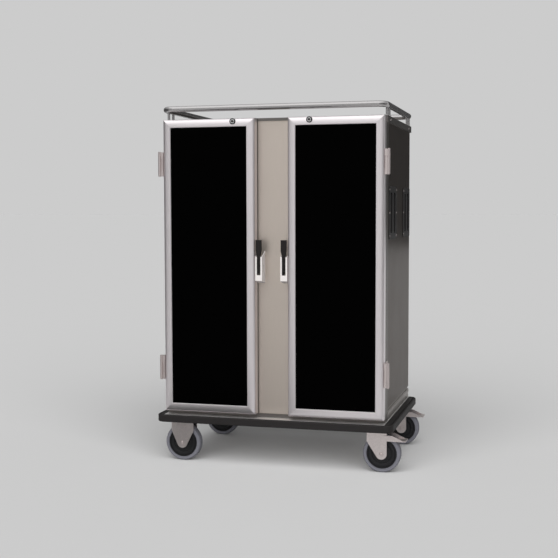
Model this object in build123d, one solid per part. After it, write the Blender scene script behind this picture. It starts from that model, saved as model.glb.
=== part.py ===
from build123d import *
import os
from math import sqrt

# Insulated two-door food transport cart, in millimetres.
# X runs to the right, Y away from the doors, Z up from the floor.
# Every piece is drawn about the cabinet's own centre plane, and all are moved together
# at the end, so that the origin lies under the centre of the overall outline.

# Cabinet
cabinet_depth = 756.0          # door fronts to back panel
door_width = 440.0
door_height = 1353.0
centre_gap = 154.0             # between the two doors
castor_height = 200.0          # floor to the top of the castor plates
chassis_thickness = 28.0
door_floor_gap = 18.0          # chassis to the doors' lower edges
door_top_margin = 1.0          # doors' upper edges to the roof
panel_sheet = 3.0              # side, back and face frame walls
wall_side = 60.0               # outside of the cabinet to its liner
wall_back = 50.0
wall_top = 60.0
mouth_width = 350.0            # clear width of each compartment
mouth_height = 1240.0
liner_sheet = 1.2
face_frame_depth = 57.0        # grey profile behind the doors
cut = 1.0                      # how far cutting solids run past what they cut
soft_gap = 0.3                 # between a soft or curved piece and its neighbour
running_gap = 0.05             # radial, between a pin and its bore

half_depth = cabinet_depth / 2
door_front = -half_depth
cabinet_back = half_depth
door_in = centre_gap / 2
door_out = door_in + door_width
side = door_out                # the doors are flush with the cabinet's sides
chassis_bottom = castor_height
chassis_top = chassis_bottom + chassis_thickness
door_bottom = chassis_top + door_floor_gap
door_top = door_bottom + door_height
roof_top = door_top + door_top_margin

# Doors
door_depth = 48.0
gasket_depth = 3.7
door_wall = 3.0
door_edge_round = 14.0
frame_face = 38.0              # face width of the mitred frame
frame_bevel = 2.5
front_panel_sheet = 3.0
front_panel_lap = 6.0          # hidden edge of the front panel behind the frame
core_round_extra = 1.0         # keeps the foam clear of the frame's inner rounding
skin_sheet = 1.5
gasket_width = 12.0
gasket_margin = 6.0            # compartment mouth to the gasket

door_back = door_front + door_depth
frame_front = door_back + gasket_depth + soft_gap
liner_front = frame_front + panel_sheet
liner_back = cabinet_back - wall_back
mouth_out = side - wall_side
mouth_in = mouth_out - mouth_width
mouth_top = roof_top - wall_top
mouth_bottom = mouth_top - mouth_height

# Roof cap and plinth
roof_sheet = 3.0
roof_rim = 30.0                # height of the rim on the sides
roof_overhang = 7.0
plinth_height = 55.0
plinth_wall = 15.0
plinth_floor = 2.0
plinth_groove_height = 11.0
plinth_groove_depth = 4.0
plinth_bead_height = 12.0
plinth_bead_below = 6.0        # bead to the groove above it
plinth_bead_out = 1.5

# Centre panel between the doors
centre_recess = 9.0            # how far it lies behind the face frame
centre_sheet = 2.0
centre_side_gap = 0.5
centre_ledge_height = 16.0     # chassis to the panel's lower edge
centre_lip = 12.0              # height of the roof's lip above the panel

# Chassis tray and buffer
chassis_side_margin = 4.0
chassis_setback = 2.0
chassis_sheet = 2.0
channel_width = 130.0
channel_sheet = 3.0
buffer_side = 38.0
buffer_overhang = 12.0         # past the door fronts and the back panel
buffer_below = 7.0             # below the chassis tray
buffer_top_drop = 1.0
buffer_corner = 40.0
buffer_edge_round = 5.0
buffer_groove_inset = 8.0      # outer side to the groove along the top
buffer_groove_width = 5.0
buffer_groove_depth = 4.0

chassis_side = side + chassis_side_margin
chassis_front = door_front + chassis_setback
buffer_half_width = chassis_side + buffer_side
buffer_half_depth = half_depth + buffer_overhang

# Castors
wheel_radius = 86.0
tyre_width = 46.0
tyre_depth = 17.0
tyre_round = 9.0
core_width = 40.0
core_groove_insets = (6.0, 24.0)
core_groove_width = 3.0
core_groove_depth = 4.0
hub_radius = 16.0
axle_radius = 6.0
fork_half_width = 32.0
fork_sheet = 4.0
fixed_fork_width = 108.0
swivel_fork_width = 91.0
fork_shoulder = 142.0          # where the legs start to narrow
fork_end_radius = 25.0
fork_flat_width = 52.0         # flat middle of the fixed forks' legs
fork_edge_back = 4.0           # how far their pressed edges slope back
castor_plate_x = 90.0
castor_plate_y = 100.0
castor_plate = 5.0
castor_plate_round = 6.0
castor_row_inset = 83.0        # cabinet's front and back to the castors' centres
fixed_castor_inset = 65.0      # from the cabinet's left side
swivel_castor_inset = 58.0     # from the cabinet's right side
castor_trail = 40.0
crown_radius = 38.0
crown_height = 9.0
race_radius = 26.0
king_pin_radius = 8.0
king_pin_drop = 24.0
king_nut_radius = 13.0
king_nut_height = 6.0
castor_bolt_radius = 4.0
castor_bolt_grid_x = 66.0
castor_bolt_grid_y = 84.0
bolt_head_height = 5.0
bolt_head_radius = 6.5
bolt_hole_gap = 0.3
nut_width = 18.0               # across the corners of the axle's head and nut
nut_height = 8.0

castor_row_y = half_depth - castor_row_inset
fixed_x = -side + fixed_castor_inset
swivel_x = side - swivel_castor_inset
swivel_wheel_x = swivel_x + castor_trail

# Brake pedals
pedal_sheet = 3.0
pedal_side_gap = 0.3
pedal_pivot_back = 15.0        # swivel wheel's centre to the pedal pivot
pedal_pivot_height = 160.0
pedal_pin_radius = 3.0
pedal_reach = 111.0            # swivel wheel's centre to the pedal's tip
pedal_tread_length = 41.0
pedal_bottom = 146.0
pedal_top = 172.0
pedal_tread = 4.0
pedal_tread_overhang = 12.0    # tread past the arms' ends
pedal_heel = 9.0               # pivot to the arms' back ends
pedal_heel_cut = 6.0
pedal_shoulder = 35.0          # pivot to where the arms start to slope
brake_travel = 6.0             # degrees
shoe_gap = 9.0                 # brake shoe to the tyre while released
shoe_length = 10.0

pedal_tip_x = swivel_wheel_x + pedal_reach
shift_x = -(pedal_tip_x - buffer_half_width) / 2

# Guard rail on the roof
rail_radius = 13.5
rail_height = 48.0             # roof to the rail's centre
rail_front_inset = 19.0        # door fronts to the rail's centre
rail_back_inset = 11.0         # back panel to the rail's centre
rail_side_out = 1.0            # cabinet's side to the rail's centre
rail_corner = 45.0
post_radius = 6.0
post_side_in = 2.0             # cabinet's side to the posts' centres
front_post_insets = (78.0, 135.0)
rear_post_insets = (83.0, 26.0)
post_foot_radius = 9.0
post_foot = 3.0

rail_front = door_front + rail_front_inset
rail_back = cabinet_back - rail_back_inset
rail_half_width = side + rail_side_out
post_x = side - post_side_in
post_places = ([door_front + inset for inset in front_post_insets]
               + [cabinet_back - inset for inset in rear_post_insets])

# Recessed push handles in the sides
front_handle_inset = 225.0     # door fronts to the front handle's centre
rear_handle_inset = 115.0      # back panel to the rear handle's centre
handle_height = 1170.0
handle_flange_y = 210.0
handle_flange_z = 240.0
handle_flange = 3.0
handle_flange_round = 12.0
handle_slot_width = 46.0
handle_slot_height = 185.0
handle_grip_width = 44.0
handle_grip_depth = 14.0
handle_pocket_depth = 44.0
handle_wall = 4.0
handle_slot_round = 8.0
screw_radius = 2.0
screw_length = 8.0
screw_head_radius = 4.2
screw_head = 1.6
screw_hole_gap = 0.1
screw_inset = 10.5             # flange's edge to the screws
screw_spacing = 105.0

handle_centres = (door_front + front_handle_inset, cabinet_back - rear_handle_inset)

# Hinges
hinge_axis_out = 19.0          # door's side to the hinge axis
hinge_axis_back = 6.0          # door's front to the hinge axis
knuckle_radius = 6.0
hinge_height = 111.0
hinge_margin = 148.0           # door's ends to the hinges
lower_knuckle = 24.0
upper_knuckle = 30.0
knuckle_gap = 0.3
hinge_pin_radius = 3.0
hinge_pin_head = 2.0
hinge_pin_head_gap = 0.1
hinge_pin_head_radius = 5.0
door_leaf_sheet = 2.5
door_leaf_depth = 30.0
lug_depth = 22.0
arm_gap = 1.0                  # door leaf to the cabinet leaf's arm
arm_thick = 8.5
arm_setback = 6.0              # hinge axis to the arm's front end
cabinet_leaf_sheet = 3.0
cabinet_leaf_depth = 40.0
arm_foot_depth = 26.0
arm_web_out = 4.0              # web past the hinge axis, inside the knuckle
arm_web_front = 2.5
arm_web_back = 6.0

hinge_x = side + hinge_axis_out
hinge_y = door_front + hinge_axis_back
hinge_bottoms = (door_bottom + hinge_margin, door_top - hinge_margin - hinge_height)

# Key locks
lock_from_edge = 102.0         # door's inner edge to the lock
lock_below_top = 14.0
lock_ring_radius = 13.5
lock_ring = 2.5
lock_ring_round = 1.0
plug_setback = 0.5             # lock ring's face to the plug's
lock_body_radius = 9.0
plug_radius = 5.5
cam_length = 20.0
cam_half_width = 6.0
cam_thick = 3.0
cam_gap = 1.5
cam_slot_gap = 1.5
pocket_depth = 7.0
key_slot_width = 1.4
key_slot_height = 6.0
key_slot_depth = 1.0

lock_x = door_in + lock_from_edge
lock_z = door_top - lock_below_top

# Latches on the centre panel
latch_width = 32.0
latch_door_gap = 2.0
latch_setback = 5.0            # door fronts to the housing's face
latch_sheet = 2.5
latch_above_door_bottom = 616.0
latch_face_height = 109.0
latch_cheek_rise = 26.0
latch_foot_drop = 13.0
lever_pivot_above_foot = 43.0
lever_pivot_back = 13.0        # housing's face to the pivot
lever_boss_radius = 8.0
lever_pin_radius = 3.0
lever_side_gap = 0.6
stem_width = 15.0
stem_thick = 9.0
stem_proud = 4.0               # in front of the housing's face
stem_below_pivot = 8.0
slot_clear = 1.0
slot_below_pivot = 17.0
paddle_width = 27.5
paddle_above_face = 28.0       # housing's face to the paddle's full width
paddle_length = 49.0
paddle_taper = 27.0
lever_edge_round = 2.5
bolt_width = 12.0
bolt_above_pivot = 5.0
bolt_body_height = 28.0
bolt_nose_height = 12.0
bolt_body_length = 16.0
bolt_rod_radius = 3.0
rod_below_top = 8.0            # bolt's top to its guide rod
bolt_behind_pivot = 15.0
bolt_cheek_gap = 0.5
bolt_window_gap = 0.5
bolt_nose_reach = 1.0          # past the housing's cheek
bolt_throw = 10.0
keeper_gap = 2.0
keeper_depth = 12.0

latch_face_bottom = door_bottom + latch_above_door_bottom
latch_face_top = latch_face_bottom + latch_face_height
lever_pivot_z = latch_face_bottom + lever_pivot_above_foot
paddle_bottom = latch_face_top + paddle_above_face
paddle_top = paddle_bottom + paddle_length
bolt_bottom = lever_pivot_z + bolt_above_pivot
latch_out = door_in - latch_door_gap
latch_in = latch_out - latch_width
latch_face = door_front + latch_setback
centre_face = frame_front + centre_recess - centre_sheet
lever_pivot_y = latch_face + lever_pivot_back
latch_mid = (latch_in + latch_out) / 2
bolt_y = lever_pivot_y + bolt_behind_pivot

# Tray runners
runner_reach = 20.0
runner_leg = 15.0
runner_sheet = 1.5
runner_pitch = 115.0
runner_first = 60.0            # compartment floor to the lowest runner
runner_front_gap = 20.0
runner_back_gap = 15.0


def block(x0, x1, y0, y1, z0, z1):
    """A box between two corners."""
    centre = Pos((x0 + x1) / 2, (y0 + y1) / 2, (z0 + z1) / 2)
    return centre * Box(x1 - x0, y1 - y0, z1 - z0)


def rod_x(x0, x1, y, z, radius):
    """A cylinder along X."""
    return Pos((x0 + x1) / 2, y, z) * Rot(0, 90, 0) * Cylinder(radius, x1 - x0)


def rod_y(y0, y1, x, z, radius):
    """A cylinder along Y."""
    return Pos(x, (y0 + y1) / 2, z) * Rot(90, 0, 0) * Cylinder(radius, y1 - y0)


def rod_z(z0, z1, x, y, radius):
    """A cylinder along Z."""
    return Pos(x, y, (z0 + z1) / 2) * Cylinder(radius, z1 - z0)


def prism_x(points, x0, x1):
    """An outline of (y, z) points, drawn out along X."""
    return extrude(Plane.YZ.offset(x0) * make_face(Polyline(*points, close=True)), amount=x1 - x0)


def prism_z(points, z0, z1):
    """An outline of (x, y) points, drawn out along Z."""
    return extrude(Plane.XY.offset(z0) * make_face(Polyline(*points, close=True)), amount=z1 - z0)


def prism_y(points, y0, y1):
    """An outline of (x, z) points, drawn out along Y."""
    return extrude(Plane.XZ.offset(-y1) * make_face(Polyline(*points, close=True)), amount=y1 - y0)


def other_side(solids):
    """The same pieces on the left of the cabinet's centre plane."""
    return [mirror(solid, about=Plane.YZ) for solid in solids]


# Chassis

def chassis_tray():
    """A shallow tray turned down at its edges, with a channel over each row of castors."""
    outer = block(-chassis_side, chassis_side, chassis_front, cabinet_back, chassis_bottom, chassis_top)
    inner_side = chassis_side - chassis_sheet
    inner_front = chassis_front + chassis_sheet
    inner_back = cabinet_back - chassis_sheet
    inner_top = chassis_top - chassis_sheet
    hollow = block(-inner_side, inner_side, inner_front, inner_back, chassis_bottom - cut, inner_top)
    tray = outer - hollow
    for centre_x in (fixed_x, swivel_x):
        left = centre_x - channel_width / 2
        right = min(centre_x + channel_width / 2, inner_side)
        channel = block(left, right, inner_front, inner_back, chassis_bottom, inner_top)
        channel -= block(left + channel_sheet, right - channel_sheet, inner_front, inner_back,
                         chassis_bottom + channel_sheet, inner_top)
        tray += channel
    for x, y in castor_bolt_places():
        tray -= rod_z(chassis_bottom - cut, chassis_bottom + channel_sheet + cut, x, y,
                      castor_bolt_radius + bolt_hole_gap)
    return [tray]


def buffer_ring():
    """The rubber ring that goes round the chassis, grooved along its top outer edge."""
    z0 = chassis_bottom - buffer_below
    z1 = chassis_top - buffer_top_drop
    ring = buffer_outline(0, z0, z1)
    top_and_bottom = ring.faces().filter_by(Axis.Z).edges()
    ring = fillet(top_and_bottom, buffer_edge_round)
    ring -= block(-chassis_side, chassis_side, chassis_front, cabinet_back, z0 - cut, z1 + cut)
    groove_bottom = z1 - buffer_groove_depth
    groove = buffer_outline(buffer_groove_inset, groove_bottom, z1 + cut)
    groove -= buffer_outline(buffer_groove_inset + buffer_groove_width, groove_bottom - cut, z1 + 2 * cut)
    return [ring - groove]


def buffer_outline(inset, z0, z1):
    """The buffer's rounded outline, drawn in by an inset."""
    outline = RectangleRounded(2 * (buffer_half_width - inset), 2 * (buffer_half_depth - inset),
                               buffer_corner - inset)
    return Pos(0, 0, z0) * extrude(outline, amount=z1 - z0)


# Castors

def castor_centres():
    """Where the four castor plates are bolted on."""
    return [(x, y) for x in (fixed_x, swivel_x) for y in (-castor_row_y, castor_row_y)]


def castor_bolt_places():
    """Four bolts on each castor plate."""
    places = []
    for x, y in castor_centres():
        for side_x in (-1, 1):
            for side_y in (-1, 1):
                places.append((x + side_x * castor_bolt_grid_x / 2, y + side_y * castor_bolt_grid_y / 2))
    return places


def castor_bolts():
    """Bolts up through the castor plates into the channels."""
    bolts = []
    for x, y in castor_bolt_places():
        plate_bottom = chassis_bottom - castor_plate
        head = rod_z(plate_bottom - bolt_head_height, plate_bottom, x, y, bolt_head_radius)
        shank_top = chassis_bottom + channel_sheet + 2 * bolt_head_height
        bolts.append(head + rod_z(plate_bottom, shank_top, x, y, castor_bolt_radius))
    return bolts


def castor_plate_at(x, y):
    """The top plate of one castor, with its four bolt holes."""
    half_x = castor_plate_x / 2
    half_y = castor_plate_y / 2
    plate = block(x - half_x, x + half_x, y - half_y, y + half_y, chassis_bottom - castor_plate, chassis_bottom)
    plate = fillet(plate.edges().filter_by(Axis.Z), castor_plate_round)
    for bolt_x, bolt_y_place in castor_bolt_places():
        plate -= rod_z(chassis_bottom - castor_plate - cut, chassis_bottom + cut, bolt_x, bolt_y_place,
                       castor_bolt_radius + bolt_hole_gap)
    return plate


def fork_legs(left, right, wheel_x, wheel_y, top, edge_back=0.0):
    """Two pressed legs that narrow from their shoulders to a round end about the axle."""
    top_edge = Line((left, top), (right, top))
    shoulder = Line((left, fork_shoulder), (right, fork_shoulder))
    axle_end = Pos(wheel_x, wheel_radius) * Circle(fork_end_radius)
    outline = make_hull(top_edge.edges() + shoulder.edges() + axle_end.edges())
    depth = fork_sheet + edge_back
    legs = None
    for direction in (-1, 1):
        outer = wheel_y + direction * fork_half_width
        low_y = min(outer, outer - direction * depth)
        leg = extrude(Plane.XZ.offset(-(low_y + depth)) * outline, amount=depth)
        if edge_back:
            leg &= sloped_sheet(left, right, wheel_x, outer, direction, edge_back, top)
        leg -= rod_y(low_y - cut, low_y + depth + cut, wheel_x, wheel_radius, axle_radius + running_gap)
        legs = leg if legs is None else legs + leg
    return legs


def sloped_sheet(left, right, middle_x, outer, direction, edge_back, top):
    """A sheet with a flat middle and edges that slope back towards the wheel."""
    flat_left = middle_x - fork_flat_width / 2
    flat_right = middle_x + fork_flat_width / 2
    edge = outer - direction * edge_back
    outside = [(left, edge), (flat_left, outer), (flat_right, outer), (right, edge)]
    inside = [(x, y - direction * fork_sheet) for x, y in reversed(outside)]
    return prism_z(outside + inside, 0, top)


def fixed_forks():
    """One-piece forks of the two castors on the left."""
    forks = []
    for y in (-castor_row_y, castor_row_y):
        plate = castor_plate_at(fixed_x, y)
        top = chassis_bottom - castor_plate
        legs = fork_legs(fixed_x - fixed_fork_width / 2, fixed_x + fixed_fork_width / 2, fixed_x, y, top,
                         fork_edge_back)
        forks.append(plate + legs)
    return forks


def swivel_plates():
    """Top plates with king pins of the two castors on the right."""
    plates = []
    for y in (-castor_row_y, castor_row_y):
        top = chassis_bottom - castor_plate
        pin = rod_z(top - king_pin_drop, top, swivel_x, y, king_pin_radius)
        nut_bottom = top - king_pin_drop
        nut = rod_z(nut_bottom, nut_bottom + king_nut_height, swivel_x, y, king_nut_radius)
        plates.append(castor_plate_at(swivel_x, y) + pin + nut)
    return plates


def swivel_fork(y):
    """The turning fork: a crown plate round the king pin and two legs."""
    crown_top = chassis_bottom - castor_plate - soft_gap - bolt_head_height
    crown_bottom = crown_top - crown_height
    race_top = chassis_bottom - castor_plate - soft_gap
    left = swivel_wheel_x + fork_end_radius - swivel_fork_width
    legs = fork_legs(left, swivel_wheel_x + fork_end_radius, swivel_wheel_x, y, crown_top)
    crown = rod_z(crown_bottom, crown_top, swivel_x, y, crown_radius)
    crown += block(left, swivel_wheel_x + fork_end_radius, y - fork_half_width, y + fork_half_width,
                   crown_top - fork_sheet, crown_top)
    race = rod_z(crown_top, race_top, swivel_x, y, race_radius)
    fork = legs + crown + race
    fork -= rod_z(crown_bottom - cut, race_top + cut, swivel_x, y, king_pin_radius + running_gap)
    fork -= rod_y(y - fork_half_width - cut, y + fork_half_width + cut, swivel_wheel_x + pedal_pivot_back,
                  pedal_pivot_height, pedal_pin_radius + running_gap)
    return [fork]


def axle(x, y):
    """An axle bolt with a hexagon head and a nut outside the fork."""
    half = fork_half_width
    bolt = rod_y(y - half - cut, y + half + cut, x, wheel_radius, axle_radius)
    hexagon = RegularPolygon(nut_width / 2, 6)
    for end in (y - half - nut_height, y + half):
        bolt += extrude(Plane.XZ.offset(-(end + nut_height)) * Pos(x, wheel_radius) * hexagon, amount=nut_height)
    return bolt


def wheel_core(x, y):
    """The wheel's moulded core: a thin web, ring grooves and a hub out to the fork."""
    rim_radius = wheel_radius - tyre_depth
    hub_half = fork_half_width - fork_sheet - soft_gap
    half = core_width / 2
    core = rod_y(y - half, y + half, x, wheel_radius, rim_radius)
    for direction in (-1, 1):
        face = y + direction * half
        bottom = face - direction * core_groove_depth
        low = min(face + direction * cut, bottom)
        high = max(face + direction * cut, bottom)
        for inset in core_groove_insets:
            groove = rod_y(low, high, x, wheel_radius, rim_radius - inset)
            groove -= rod_y(low - cut, high + cut, x, wheel_radius, rim_radius - inset - core_groove_width)
            core -= groove
    core += rod_y(y - hub_half, y + hub_half, x, wheel_radius, hub_radius)
    core -= rod_y(y - hub_half - cut, y + hub_half + cut, x, wheel_radius, axle_radius + running_gap)
    return [core]


def tyre(x, y):
    """A round-shouldered tyre on the core."""
    half = tyre_width / 2
    ring = rod_y(y - half, y + half, x, wheel_radius, wheel_radius)
    ring = fillet(ring.edges().filter_by(GeomType.CIRCLE), tyre_round)
    ring -= rod_y(y - half - cut, y + half + cut, x, wheel_radius, wheel_radius - tyre_depth)
    return [ring]


def brake_pedal(y):
    """Two arms outside the fork, a tread between them and the shoe over the tyre."""
    pivot_x = swivel_wheel_x + pedal_pivot_back
    tip = pedal_tip_x
    arm_end = tip - pedal_tread_overhang
    outline = [
        (pivot_x - pedal_heel, pedal_bottom + pedal_heel_cut),
        (pivot_x - pedal_heel, pedal_top - pedal_heel_cut),
        (pivot_x - pedal_heel + pedal_heel_cut, pedal_top),
        (pivot_x + pedal_shoulder, pedal_top),
        (arm_end, pedal_bottom + pedal_tread),
        (arm_end, pedal_bottom),
        (pivot_x - pedal_heel + pedal_heel_cut, pedal_bottom),
    ]
    inner = fork_half_width + pedal_side_gap
    outer = inner + pedal_sheet
    pedal = block(tip - pedal_tread_length, tip, y - inner - pedal_sheet / 2, y + inner + pedal_sheet / 2,
                  pedal_bottom, pedal_bottom + pedal_tread)
    for low, stud_low in ((y - outer, y - inner), (y + inner, y + inner - fork_sheet)):
        pedal += prism_y(outline, low, low + pedal_sheet)
        pedal += rod_y(stud_low, stud_low + fork_sheet, pivot_x, pedal_pivot_height, pedal_pin_radius)
    shoe_x = tip - pedal_tread_length
    shoe_surface = wheel_radius + sqrt(wheel_radius**2 - (shoe_x - swivel_wheel_x) ** 2)
    pedal += block(shoe_x, shoe_x + shoe_length, y - tyre_width / 2, y + tyre_width / 2,
                   shoe_surface + shoe_gap, pedal_bottom + pedal_tread)
    return [pedal]


# Cabinet

def front_frame():
    """The face frame: a front sheet with turned edges, stepped back behind the centre panel."""
    recess_half = door_in - centre_side_gap
    recess_bottom = chassis_top + centre_ledge_height
    top = roof_top - roof_sheet
    back = frame_front + face_frame_depth
    outer = block(-side, side, frame_front, back, chassis_top, top)
    outer -= block(-recess_half, recess_half, frame_front - cut, frame_front + centre_recess,
                   recess_bottom, top + cut)
    inner = block(-side + panel_sheet, side - panel_sheet, frame_front + panel_sheet, back + cut,
                  chassis_top + panel_sheet, top - panel_sheet)
    inner -= block(-recess_half - panel_sheet, recess_half + panel_sheet, frame_front,
                   frame_front + centre_recess + panel_sheet, recess_bottom - panel_sheet, top)
    frame = outer - inner
    for mouth in compartment_blocks(frame_front - cut, liner_front):
        frame -= mouth
    for slot in lock_slots():
        frame -= slot
    return [frame]


def compartment_blocks(front, back, grow=0.0):
    """A box for each compartment, from front to back, grown all round by the given wall."""
    x0 = mouth_in - grow
    x1 = mouth_out + grow
    z0 = mouth_bottom - grow
    z1 = mouth_top + grow
    return [block(-x1, -x0, front, back, z0, z1), block(x0, x1, front, back, z0, z1)]


def lock_slots():
    """Openings in the face frame that let the unlocked cams pass."""
    half = cam_half_width + cam_slot_gap
    slot = block(lock_x - half, lock_x + half, frame_front - cut, liner_front,
                 lock_z - cam_length - cam_slot_gap, lock_z + half)
    return [slot] + other_side([slot])


def lock_pockets():
    """Room behind the face frame where the cams turn."""
    half = cam_half_width + cam_slot_gap
    pocket = block(lock_x - cam_length - cam_slot_gap, lock_x + half, liner_front, liner_front + pocket_depth,
                   lock_z - cam_length - cam_slot_gap, lock_z + half)
    return [pocket] + other_side([pocket])


def plinth_groove():
    """The shadow gap that runs round the top of the plinth."""
    front = frame_front + face_frame_depth
    top = chassis_top + plinth_height
    bottom = top - plinth_groove_height
    groove_side = side - plinth_groove_depth
    groove = block(-side - cut, side + cut, front - cut, cabinet_back + cut, bottom, top + cut)
    groove -= block(-groove_side, groove_side, front - 2 * cut, cabinet_back - plinth_groove_depth,
                    bottom - cut, top + 2 * cut)
    return groove


def bottom_frame():
    """The plinth: a ring with a bead and a groove round its outside, on a floor sheet."""
    front = frame_front + face_frame_depth
    top = chassis_top + plinth_height
    bead_top = top - plinth_groove_height - plinth_bead_below
    ring = block(-side, side, front, cabinet_back, chassis_top, top)
    bead_side = side + plinth_bead_out
    ring += block(-bead_side, bead_side, front, cabinet_back, bead_top - plinth_bead_height, bead_top)
    ring -= plinth_groove()
    inner_side = side - plinth_wall
    ring -= block(-inner_side, inner_side, front - cut, cabinet_back - plinth_wall,
                  chassis_top + plinth_floor, top + cut)
    return [ring]


def roof_panel():
    """A flat cap with a rim down the sides and back and a short lip between the doors."""
    front = frame_front
    rim_side = side + roof_overhang
    rim_back = cabinet_back + roof_overhang
    cap = block(-rim_side, rim_side, front, rim_back, roof_top - roof_rim, roof_top)
    cap -= block(-side - soft_gap, side + soft_gap, front - cut, cabinet_back + soft_gap,
                 roof_top - roof_rim - cut, roof_top - roof_sheet)
    lip_half = door_in - centre_side_gap - soft_gap
    cap += block(-lip_half, lip_half, front, front + centre_recess, roof_top - centre_lip, roof_top)
    return [cap]


def side_panel():
    """The right side sheet, open where the push handles sit."""
    front = frame_front + face_frame_depth
    panel = block(side - panel_sheet, side, front, cabinet_back, chassis_top + plinth_height, roof_top - roof_sheet)
    for tub in handle_tubs(soft_gap):
        panel -= tub
    for hole in screw_holes():
        panel -= hole
    return [panel]


def back_panel():
    """The back sheet between the side sheets."""
    inner = side - panel_sheet
    return [block(-inner, inner, cabinet_back - panel_sheet, cabinet_back,
                  chassis_top + plinth_height, roof_top - roof_sheet)]


def centre_panel():
    """The sheet between the doors."""
    half = door_in - centre_side_gap - soft_gap
    return [block(-half, half, centre_face, centre_face + centre_sheet,
                  chassis_top + centre_ledge_height, roof_top - centre_lip)]


def liner(index):
    """One compartment's tub, open to the front."""
    outer = compartment_blocks(liner_front, liner_back, liner_sheet)[index]
    inner = compartment_blocks(liner_front - cut, liner_back - liner_sheet)[index]
    return [outer - inner]


def insulation():
    """Foam that fills the cabinet's walls."""
    inner = side - panel_sheet
    foam = block(-inner, inner, liner_front, cabinet_back - panel_sheet,
                 chassis_top + panel_sheet, roof_top - roof_sheet - panel_sheet)
    recess_half = door_in - centre_side_gap + panel_sheet
    foam -= block(-recess_half, recess_half, liner_front - cut, frame_front + centre_recess + panel_sheet,
                  chassis_top + centre_ledge_height - panel_sheet, roof_top)
    foam -= bottom_frame()[0]
    foam -= plinth_groove()
    for tub in compartment_blocks(liner_front - cut, liner_back, liner_sheet):
        foam -= tub
    tubs = handle_tubs(soft_gap)
    for tub in tubs + other_side(tubs):
        foam -= tub
    holes = screw_holes()
    for hole in holes + other_side(holes) + lock_pockets():
        foam -= hole
    return [foam]


def tray_runners():
    """Angle runners on both walls of each compartment, one pair for each level."""
    levels = int((mouth_height - 2 * runner_first) / runner_pitch) + 1
    front = liner_front + runner_front_gap
    back = liner_back - liner_sheet - runner_back_gap
    runners = []
    for level in range(levels):
        z = mouth_bottom + runner_first + level * runner_pitch
        for wall, inward in ((mouth_in, 1), (mouth_out, -1)):
            tip = wall + inward * runner_reach
            leg = wall + inward * runner_sheet
            shelf = block(min(wall, tip), max(wall, tip), front, back, z, z + runner_sheet)
            upright = block(min(wall, leg), max(wall, leg), front, back, z, z + runner_leg)
            runners.append(shelf + upright)
    return runners + other_side(runners)


# Push handles

def handle_tubs(gap):
    """The outer shapes of the two tubs let into the right side, grown by a gap."""
    half_y = handle_grip_width / 2 + handle_slot_width + handle_wall + gap
    half_z = handle_slot_height / 2 + handle_wall + gap
    depth = handle_pocket_depth + handle_wall + gap
    return [block(side - depth, side + cut, y - half_y, y + half_y, handle_height - half_z, handle_height + half_z)
            for y in handle_centres]


def push_handles():
    """Recessed housings, each with two upright slots either side of a grip bar."""
    handles = []
    for y in handle_centres:
        half_y = handle_flange_y / 2
        half_z = handle_flange_z / 2
        flange = block(side, side + handle_flange, y - half_y, y + half_y,
                       handle_height - half_z, handle_height + half_z)
        flange = fillet(flange.edges().filter_by(Axis.X), handle_flange_round)
        tub_y = handle_grip_width / 2 + handle_slot_width + handle_wall
        tub_z = handle_slot_height / 2 + handle_wall
        housing = flange + block(side - handle_pocket_depth - handle_wall, side, y - tub_y, y + tub_y,
                                 handle_height - tub_z, handle_height + tub_z)
        slot_z = handle_slot_height / 2
        for direction in (-1, 1):
            slot_y = y + direction * (handle_grip_width + handle_slot_width) / 2
            slot = block(side - handle_pocket_depth, side + handle_flange + cut,
                         slot_y - handle_slot_width / 2, slot_y + handle_slot_width / 2,
                         handle_height - slot_z, handle_height + slot_z)
            housing -= fillet(slot.edges().filter_by(Axis.X), handle_slot_round)
        inner_y = tub_y - handle_wall - handle_slot_round
        housing -= block(side - handle_pocket_depth, side + handle_flange - handle_grip_depth,
                         y - inner_y, y + inner_y, handle_height - slot_z, handle_height + slot_z)
        handles.append(housing)
    for hole in screw_holes():
        handles = [housing - hole for housing in handles]
    return handles


def screw_places():
    """Six screws round each handle's flange."""
    places = []
    for y in handle_centres:
        for direction in (-1, 1):
            for row in (-1, 0, 1):
                screw_y = y + direction * (handle_flange_y / 2 - screw_inset)
                places.append((screw_y, handle_height + row * screw_spacing))
    return places


def screw_holes():
    """Clearance holes for the screws, through the flange and the panel into the foam."""
    reach = side + handle_flange - screw_length - cut
    return [rod_x(reach, side + handle_flange + cut, y, z, screw_radius + screw_hole_gap)
            for y, z in screw_places()]


def panel_screws():
    """Round-headed screws through the handles' flanges."""
    face = side + handle_flange
    screws = []
    for y, z in screw_places():
        head = rod_x(face, face + screw_head, y, z, screw_head_radius)
        screws.append(head + rod_x(face - screw_length, face, y, z, screw_radius))
    return screws + other_side(screws)


# Guard rail

def guard_rail():
    """A closed tube round the roof, on slim posts welded to it."""
    z = roof_top + rail_height
    depth = rail_back - rail_front
    path = RectangleRounded(2 * rail_half_width, depth, rail_corner).wire()
    path = Pos(0, (rail_front + rail_back) / 2, z) * path
    start = path @ 0
    section = Plane(origin=start, z_dir=path % 0) * Circle(rail_radius)
    rail = sweep(section, path=path)
    for y in post_places:
        for x in (-post_x, post_x):
            rail += rod_z(roof_top, z, x, y, post_radius)
            rail += rod_z(roof_top, roof_top + post_foot, x, y, post_foot_radius)
    return [rail]


# Hinges, drawn on the right

def hinge_levels(bottom):
    """Heights of the three knuckles: lower, middle and upper."""
    top = bottom + hinge_height
    middle_bottom = bottom + lower_knuckle + knuckle_gap
    middle_top = top - upper_knuckle - knuckle_gap
    return bottom, middle_bottom, middle_top, top


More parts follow.
